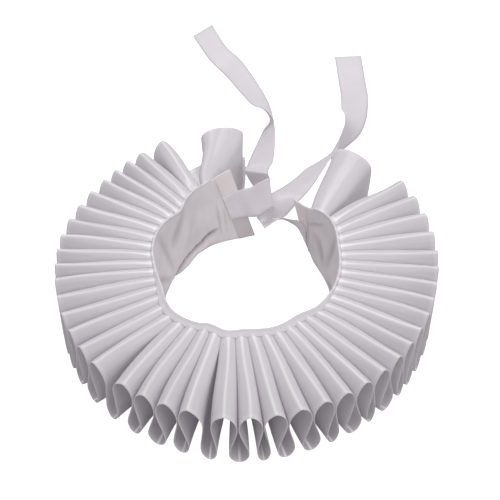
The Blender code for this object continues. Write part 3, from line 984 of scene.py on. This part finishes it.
def crease_depth(angle, v):
    """How far the creases push the band's face outward at this place, in metres."""
    depth = 0.0
    for a0, v0, a1, v1, half_width, deep in BAND_CREASES:
        start = Vector((a0 * MM_PER_DEGREE, v0 * BAND_HEIGHT_MM))
        line = Vector((a1 * MM_PER_DEGREE, v1 * BAND_HEIGHT_MM)) - start
        here = Vector((angle * MM_PER_DEGREE, v * BAND_HEIGHT_MM)) - start
        f = share_of(here.dot(line), 0.0, line.length_squared)
        away = (here - line * f).length / half_width
        if away < CREASE_REACH:
            depth += deep * math.exp(-away * away) * (0.5 + 0.5 * math.sin(math.pi * f))
    return depth * MM


def band_spot(angle, v, out=0.0):
    """A place on the creased band, or off it by a distance outward."""
    return band_face(angle, v) + band_out(angle, v) * (out + crease_depth(angle, v))


LEFT_END, LEFT_SEAM, RIGHT_SEAM, RIGHT_END = 21.0, 29.5, 329.5, 340.4
SEAM_DEGREES = 0.2
# The leaning band is lifted so that its thickness and its creases clear the table
BAND_CLEARANCE, PLACKET_CLEARANCE = 0.5 * MM, 0.05 * MM
NECKBAND_THICKNESS = 1.2 * MM
PLACKET_THICKNESS = 1.4 * MM
PLACKET_COLUMNS = 16
# A trough this deep gets the full painted shade
CREASE_DEPTH_AT_FULL_SHADE = 2.3 * MM


def band_piece(name, first, last, columns, material, thickness, clearance, shade=None):
    """A grid on the band's face, painted darker in its creases as painted shade. Shade of (angle, v) adds painted
    shade where it is given.
    """
    def spot(column, row):
        """Angle and v of a place on the piece."""
        angle = first + (last - first) * column / (columns - 1)
        face = band_face(angle, 1.0) - band_face(angle, 0.0)
        lean = math.hypot(face.x, face.y) / face.length
        foot = (thickness * lean + clearance) / face.z
        return angle, foot + (1.0 - foot) * row / (BAND_ROWS - 1)

    def crease(column, row):
        """How much painted shade the cloth gets in its creases, from 0 to 1."""
        angle, v = spot(column, row)
        deep = crease_depth(angle, v) / CREASE_DEPTH_AT_FULL_SHADE + (shade(angle, v) if shade else 0.0)
        return share_of(deep, 0.0, 1.0)

    return cloth_grid(name, columns, BAND_ROWS, lambda column, row: band_spot(*spot(column, row)),
                      material, thickness, offset=1.0, marks={"painted_light_mark": crease})


neckband, band_length, band_height = band_piece(
    "neckband_cloth", LEFT_SEAM, RIGHT_SEAM, BAND_COLUMNS, cotton,
    NECKBAND_THICKNESS, BAND_CLEARANCE)
print("neckband", round(band_length * 1000), "mm round,", round(band_height * 1000), "mm high")

# %% [markdown]
# The gathered edge of the ribbon is turned over the top of the band and pressed flat over the
# joins of the loops. It shows as a thin pale line round the neck and as a smooth border beside
# it: narrow at the sides and wider at the front, where the creases start a little later.

# %% Flat border where the pleats are sewn down
BORDER_SIDES = 0.5 * MM
BORDER_FRONT = 5.5 * MM
BORDER_THICKNESS = 0.10 * MM
RUFFLE_WIDTH = 76.0 * MM
BORDER_STEPS = 8
# The wide stretch: its limits and its middle on the band (deg), how fast it narrows away from
# the middle, how soon it is at full width, and how deep the scallops between the crests are
BORDER_WIDE = (115.0, 255.0)
BORDER_MIDDLE = 185.0
BORDER_NARROWING = 1.25
BORDER_FULLNESS = 1.6
BORDER_SCALLOP = 0.1
# Half width of a crest's painted highlight line on the border, in loops
BORDER_HIGHLIGHT_HALF_WIDTH = 0.13
# Rows that wrap the band's top edge: distance out from the inner face, height over the top
BORDER_WRAP = ((-0.3, -1.3), (-0.35, -0.5), (-0.2, 0.1), (0.2, 0.38), (0.8, 0.45), (1.3, 0.25))
BORDER_ROWS = len(BORDER_WRAP) + 5
# Height over the crests beside the band and at the border's outer edge, and its dip between crests
BORDER_ABOVE, BORDER_EDGE, BORDER_DIP = 0.95 * MM, 0.18 * MM, 0.6 * MM
FIRST_BORDER_LOOP, LAST_BORDER_LOOP = -0.3, LAST_LOOP + 0.3


def border_place(column):
    """Loop coordinate of a column, its angle on the band and the border's width there."""
    loop = min(FIRST_BORDER_LOOP + column / BORDER_STEPS, LAST_BORDER_LOOP)
    angle = straight(INNER_LOOPS, loop)[0]
    frontness = 0.0
    if BORDER_WIDE[0] < angle < BORDER_WIDE[1]:
        frontness = max(0.0, math.cos(math.radians(angle - BORDER_MIDDLE) * BORDER_NARROWING))
    width = BORDER_SIDES + (BORDER_FRONT - BORDER_SIDES) * min(1.0, BORDER_FULLNESS * frontness)
    scallop = BORDER_SCALLOP * math.cos(2 * math.pi * (loop - 0.5))
    return loop, angle, width * (1.0 - BORDER_SCALLOP + scallop)


def border_spot(column, row):
    """A grid point of the border: over the band's top edge first, then out over the crests."""
    loop, angle, width = border_place(column)
    if row < len(BORDER_WRAP):
        out, above = BORDER_WRAP[row]
        return band_spot(angle, 1.0, out * MM) + Vector((0, 0, above * MM))
    f = (row - len(BORDER_WRAP)) / (BORDER_ROWS - 1 - len(BORDER_WRAP))
    between = 2 * abs(loop - round(loop))
    above = BORDER_ABOVE + (BORDER_EDGE - BORDER_ABOVE) * f
    above -= BORDER_DIP * f * (1 - math.sqrt(max(0.0, 1 - between**2)))
    return ribbon_place(loop, 1.0, f * width / RUFFLE_WIDTH) + Vector((0, 0, above))


def border_painted_highlight(column, row):
    """The crests' painted highlight lines run on into the border and fade towards the band."""
    loop, _, width = border_place(column)
    f = max(0.0, (row - len(BORDER_WRAP)) / (BORDER_ROWS - 1 - len(BORDER_WRAP)))
    if row > 3 and width < 2 * BORDER_SIDES:
        f = 1.0
    return f * f * math.exp(-((loop - round(loop)) / BORDER_HIGHLIGHT_HALF_WIDTH)**2)


border_columns = round((LAST_BORDER_LOOP - FIRST_BORDER_LOOP) * BORDER_STEPS) + 1
# The border carries the crests' painted highlight lines on towards the band
border = cloth_grid("pleat_border", border_columns, BORDER_ROWS, border_spot, satin_plain,
                    BORDER_THICKNESS, marks={"painted_light_mark": border_painted_highlight})[0]
print("border has", len(border.data.polygons), "faces")

# %% [markdown]
# A placket closes each end of the band: a strip of ribbon folded round the raw edge. It goes
# on along the band's own face from the seam, so the same grid function makes it. Its warmer,
# coarser ribbon sets it off, and its lower part is painted darker as painted shade.

# %% Plackets
# Shares of the band's height between which the painted shade on the lower part fades
DARK_BELOW, LIGHT_ABOVE = 0.32, 0.5


def lower_shade(angle, v):
    """How much painted shade a placket gets at this height, the same all across it."""
    return 1.0 - share_of(v, DARK_BELOW, LIGHT_ABOVE)


plackets = []
for side, first, last in (("left", LEFT_END, LEFT_SEAM - SEAM_DEGREES),
                          ("right", RIGHT_SEAM + SEAM_DEGREES, RIGHT_END)):
    placket, width, _ = band_piece("placket_" + side + "_strip", first, last, PLACKET_COLUMNS,
                                   placket_cloth, PLACKET_THICKNESS, PLACKET_CLEARANCE, lower_shade)
    plackets.append(placket)
    print(side, "placket", round(width * 1000), "mm wide")

# %% [markdown]
# Along each placket seam the cloth stands up a little. A thin bead of the band's own cotton,
# half sunk in its face, shows that.

# %% Raised seams
SEAM_RIDGE_RADIUS = 0.6 * MM
SEAM_RIDGE_SUNK = 0.35 * MM
SEAM_RIDGE_STEPS = 24
# Shares of the band's height: the ridge's lower end and its length
SEAM_RIDGE_FROM, SEAM_RIDGE_RUN = 0.03, 0.96
# Beside each seam, towards the band (deg)
LEFT_RIDGE, RIGHT_RIDGE = LEFT_SEAM + 0.1, RIGHT_SEAM - 0.2

seam_ridges = []
for side, seam_angle in (("left", LEFT_RIDGE), ("right", RIGHT_RIDGE)):
    ridge_line = []
    for step in range(SEAM_RIDGE_STEPS + 1):
        v = SEAM_RIDGE_FROM + SEAM_RIDGE_RUN * step / SEAM_RIDGE_STEPS
        ridge_line.append(band_spot(seam_angle, v, -SEAM_RIDGE_SUNK))
    seam_ridges.append(bead("seam_ridge_" + side, ridge_line, SEAM_RIDGE_RADIUS, cotton))
print("seam ridges:", len(seam_ridges))

# %% [markdown]
# Hand stitches hold the joins of the loops to the band and close the two placket seams. Each
# stitch is a small ball drawn out into a grain along its own direction.

# %% Hand stitches
STITCH_SEGMENTS = (8, 6)
# In front the smooth border hides the joins
FRONT_ANGLES = (100.0, 262.0)
# A join's stitch lies this far out from the band's face and over its top edge
JOIN_OUT, JOIN_ABOVE = 1.9 * MM, 0.25 * MM
JOIN_LENGTHS = (2.2 * MM, 3.2 * MM)
JOIN_THICKNESS = 0.7 * MM
SEAM_STITCH_THICKNESS = 0.8 * MM
SEAM_STITCH_OUT = 0.25 * MM
# Columns: first angle (deg), first v, last angle (deg), last v, step (mm), length (mm), tilt (rad)
SEAM_STITCHES = (
    (30.0, 0.93, 30.4, 0.25, 2.2, 1.5, 0.0),
    (31.4, 0.62, 31.2, 0.16, 1.5, 1.1, 1.3),
    (328.6, 0.95, 328.2, 0.17, 2.4, 1.4, 0.0),
    (328.0, 0.64, 320.0, 0.79, 2.0, 1.5, 0.0),
)


def add_stitch(bm, place, direction, length, thickness):
    """One grain of thread at a place, lying along a direction."""
    turn = direction.to_track_quat("X", "Z").to_matrix().to_4x4()
    shape = Matrix.Diagonal((length / 2, thickness / 2, thickness / 2, 1.0))
    bmesh.ops.create_uvsphere(
        bm, u_segments=STITCH_SEGMENTS[0], v_segments=STITCH_SEGMENTS[1], radius=1.0,
        matrix=Matrix.Translation(place) @ turn @ shape)


def stitched_line(bm, first, last, step, length, tilt):
    """Stitches on the band's inner face from one (angle, v) to another."""
    start, end = band_spot(*first), band_spot(*last)
    count = max(1, round((end - start).length / step))
    for i in range(count + 1):
        f = i / count
        angle = first[0] + (last[0] - first[0]) * f
        v = first[1] + (last[1] - first[1]) * f
        out = band_out(angle, v)
        along = (end - start).normalized()
        sideways = along.cross(out)
        lie = along * math.cos(tilt) + sideways * math.sin(tilt)
        size = length * hand.uniform(0.75, 1.15)
        add_stitch(bm, band_spot(angle, v) - out * SEAM_STITCH_OUT, lie, size, SEAM_STITCH_THICKNESS)


stitch_bm = bmesh.new()
for join in range(LAST_LOOP):
    join_angle = straight(INNER_LOOPS, join + 0.5)[0]
    if FRONT_ANGLES[0] < join_angle < FRONT_ANGLES[1]:
        continue
    outward = band_out(join_angle, 1.0)
    spot = band_face(join_angle, 1.0) + outward * JOIN_OUT + Vector((0, 0, JOIN_ABOVE))
    add_stitch(stitch_bm, spot, outward, hand.uniform(*JOIN_LENGTHS), JOIN_THICKNESS)
for first_angle, first_v, last_angle, last_v, step, length, tilt in SEAM_STITCHES:
    stitched_line(stitch_bm, (first_angle, first_v), (last_angle, last_v), step * MM, length * MM, tilt)
stitches = new_mesh_object("hand_stitches", stitch_bm, thread_cotton)
print("stitches:", len(stitches.data.polygons) // (STITCH_SEGMENTS[0] * STITCH_SEGMENTS[1]))

# %% [markdown]
# ## The ties
# Each tie is a satin ribbon an inch wide, sewn to a placket. The two cross behind the opening
# as a loose knot and their ends lie on the table. A ribbon bends along its length and twists,
# but hardly stretches across, so every row of the grid is a straight line across the ribbon.

# %% Tie routes
# From the sewn end to the free end. Columns: centre x, y, z from the middle of the neck (mm),
# direction across the ribbon x, y, z, width (mm; gathered inside the knot)
TIE_LEFT = (
    (-33.9, 72.3, 27.0, -0.41, 0.28, 0.87, 20.5),
    (-28.9, 77.0, 26.6, -0.44, 0.31, 0.84, 22.0),
    (-23.8, 81.1, 26.2, -0.45, 0.35, 0.82, 23.8),
    (-14.5, 85.1, 26.7, -0.36, 0.68, 0.64, 25.0),
    (-8.4, 89.2, 29.3, -0.33, 0.69, 0.65, 25.0),
    (-3.9, 92.4, 31.0, -0.33, 0.69, 0.65, 25.0),
    (-1.6, 95.0, 30.3, -0.33, 0.69, 0.65, 25.0),
    (-4.5, 96.3, 29.4, -0.27, 0.71, 0.65, 19.5),
    (-7.1, 102.5, 25.0, 0.07, 0.83, 0.55, 19.0),
    (-12.9, 110.2, 22.1, 0.76, 0.22, 0.62, 15.4),
    (-16.3, 112.6, 25.4, 0.88, -0.19, 0.44, 21.5),
    (-18.1, 109.9, 34.7, 0.89, -0.28, 0.36, 24.0),
    (-18.9, 114.1, 34.5, 0.89, -0.26, 0.38, 24.0),
    (-20.0, 123.8, 28.9, 0.88, -0.18, 0.43, 25.0),
    (-20.9, 135.7, 20.9, 0.90, -0.04, 0.44, 25.0),
    (-22.7, 156.0, 15.4, 0.82, -0.11, 0.56, 25.0),
    (-24.2, 176.7, 12.9, 0.64, -0.29, 0.71, 25.0),
    (-25.3, 191.8, 10.5, 0.46, -0.49, 0.74, 25.0),
    (-25.9, 199.8, 11.2, 0.20, -0.53, 0.83, 25.0),
    (-30.9, 209.5, 10.8, -0.24, -0.56, 0.80, 25.0),
    (-44.7, 230.6, 5.0, -0.34, -0.88, 0.33, 25.0),
    (-76.0, 270.0, 1.2, -0.41, -0.91, 0.00, 25.0),
    (-96.5, 288.7, 0.9, -0.40, -0.91, 0.00, 25.0),
    (-119.7, 318.4, 0.9, -0.54, -0.84, 0.00, 25.0),
)
TIE_RIGHT = (
    (34.0, 61.8, 23.5, -0.05, -0.13, 0.99, 25.0),
    (31.0, 65.3, 23.0, -0.08, -0.17, 0.98, 23.4),
    (27.9, 69.0, 22.2, -0.11, -0.20, 0.97, 20.3),
    (24.8, 71.9, 23.3, -0.05, -0.23, 0.97, 14.5),
    (18.7, 81.9, 13.6, 0.10, -0.53, 0.84, 19.0),
    (9.8, 83.3, 14.0, 0.10, -0.65, 0.75, 13.0),
    (3.9, 78.3, 15.5, 0.28, -0.80, 0.54, 11.5),
    (-1.0, 72.8, 14.6, 0.33, -0.80, 0.50, 11.0),
    (-6.4, 78.0, 10.8, 0.52, -0.80, 0.31, 20.0),
    (-7.3, 84.4, 11.1, 0.56, -0.83, -0.02, 20.0),
    (-3.7, 89.9, 15.0, 0.59, -0.55, -0.58, 21.0),
    (3.9, 94.3, 17.8, 0.62, -0.62, -0.44, 23.0),
    (9.3, 104.0, 20.0, 0.88, -0.44, 0.17, 25.0),
    (14.8, 116.3, 18.5, 0.90, -0.31, 0.32, 25.0),
    (20.1, 132.1, 16.5, 0.84, -0.23, 0.50, 25.0),
    (26.3, 152.4, 14.0, 0.71, -0.26, 0.66, 25.0),
    (33.8, 167.4, 13.0, 0.49, -0.22, 0.84, 25.0),
    (36.8, 175.1, 13.1, 0.23, 0.00, 0.97, 25.0),
    (42.4, 193.6, 12.9, -0.12, 0.13, 0.98, 25.0),
    (45.6, 211.4, 10.5, -0.61, 0.12, 0.79, 25.0),
    (44.2, 232.0, 5.0, -0.92, -0.10, 0.37, 25.0),
    (40.3, 256.9, 2.2, -0.97, -0.24, 0.05, 25.0),
    (33.7, 280.0, 1.0, -0.96, -0.28, -0.00, 25.0),
    (24.1, 312.9, 0.9, -0.96, -0.29, -0.00, 25.0),
)
TIE_STEPS = 6 if QUICK else 12
TIE_ROWS = 13
TIE_THICKNESS = 0.5 * MM
TIE_WIDTH = 25.0 * MM
# The sewn end is gathered into small folds that die out along the ribbon
GATHER_DEPTH = 0.45 * MM
GATHER_REACH = 9.0 * MM
GATHER_FOLDS = 3.5
GATHER_PHASE = 0.7
# Clear of the table the ribbon is a little hollow across its width
HOLLOW_DEPTH = 0.9 * MM
HOLLOW_MIDDLE = 0.33
HOLLOW_FROM, HOLLOW_FULL = 6.0 * MM, 14.0 * MM


def smooth_between(a, b, c, d, f):
    """Smooth curve from b to c, with a before them and d after them."""
    return 0.5 * (2 * b + (c - a) * f + (2 * a - 5 * b + 4 * c - d) * f * f
                  + (3 * b - a - 3 * c + d) * f**3)


def tie_line(rows):
    """Centre points and half-width vectors along a smooth curve through the rows."""
    stations = []
    for row in rows:
        across = Vector(row[3:6]).normalized() * (row[6] * MM / 2)
        stations.append((NECK_CENTRE + Vector(row[:3]) * MM, across))
    line = []
    for i in range(len(stations) - 1):
        near = [stations[min(max(j, 0), len(stations) - 1)] for j in range(i - 1, i + 3)]
        for step in range(TIE_STEPS):
            f = step / TIE_STEPS
            line.append(tuple(smooth_between(*(n[c] for n in near), f) for c in (0, 1)))
    line.append(stations[-1])
    return line


def make_tie(name, rows):
    """The ribbon along its rows; returns the piece, its centre path and its length."""
    line = tie_line(rows)
    travelled = running_lengths([centre for centre, _ in line])

    def place(column, row):
        centre, across = line[column]
        ahead = line[min(column + 1, len(line) - 1)][0] - line[max(column - 1, 0)][0]
        face = ahead.cross(across).normalized()
        u = 2.0 * row / (TIE_ROWS - 1) - 1.0
        gather = math.exp(-travelled[column] / GATHER_REACH)
        height = GATHER_DEPTH * gather * math.sin(GATHER_FOLDS * math.pi * u + GATHER_PHASE)
        clear = share_of(centre.z, HOLLOW_FROM, HOLLOW_FULL)
        height += HOLLOW_DEPTH * clear * (1.0 - gather) * (u * u - HOLLOW_MIDDLE)
        return centre + across * u + face * height

    tie = cloth_grid(name, len(line), TIE_ROWS, place, tie_satin, TIE_THICKNESS)[0]
    path = [list(centre) for centre, _ in line]
    print(name, "is", round(travelled[-1], 3), "m long")
    return tie, path, travelled[-1]


tie_left, left_path, left_length = make_tie("tie_left_ribbon", TIE_LEFT)
tie_right, right_path, right_length = make_tie("tie_right_ribbon", TIE_RIGHT)

# %% [markdown]
# ## Declare every piece
# Each piece rides on the one rigid body, stands for its plain solid, and takes a finish slot
# of the record. The ribbons' sizes are said as they were cut.

# %% Riding, replacing and declaring
for piece, node, slot in (
    (ruffle, "pleated_ruffle", "ruffle_satin"),
    (neckband, "neckband", "band_cotton"),
    (plackets[0], "placket_left", "placket_left_ribbon"),
    (plackets[1], "placket_right", "placket_right_ribbon"),
    (tie_left, "tie_left", "tie_left_satin"),
    (tie_right, "tie_right", "tie_right_satin"),
):
    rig.ride(piece, "root")
    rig.replaces(piece, node)
    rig.slot(piece, slot)
for piece, slot in ((selvedge, "ruffle_satin"), (border, "ruffle_satin"),
                    (stitches, "band_cotton"), (seam_ridges[0], "band_cotton"),
                    (seam_ridges[1], "band_cotton")):
    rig.ride(piece, "root")
    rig.slot(piece, slot)

# Width and length of each cloth laid flat, in metres
RIBBON_FLAT = (0.076, 5.9)
BAND_FLAT = (0.06, 0.44)
PLACKET_FLAT = (0.013, 0.06)
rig.sheet(ruffle, flat=RIBBON_FLAT, held="gathered", rests_on=["neckband_cloth"],
         with_pieces=[selvedge, border])
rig.sheet(neckband, flat=BAND_FLAT, held="stretched", with_pieces=[stitches, *seam_ridges])
for placket in plackets:
    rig.sheet(placket, flat=PLACKET_FLAT, held="folded", rests_on=["neckband_cloth"])
for tie, path, length in ((tie_left, left_path, left_length), (tie_right, right_path, right_length)):
    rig.cord(tie, exit=path[0], length=length, diameter=TIE_WIDTH, far_end="bare",
            stiffness="limp", lay="loose", path=path)
print("ruffle ribbon:", RIBBON_FLAT[1], "m of", round(RIBBON_FLAT[0] * 1000), "mm satin")

# %% [markdown]
# ## The size
# The box of the imported solids and the box of the dressed collar are written side by side.

# %% Write both boxes and finish
with open("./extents.json", "w") as out:
    json.dump({"cad": cad_box, "visual": [list(corner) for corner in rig.bounds()]}, out)
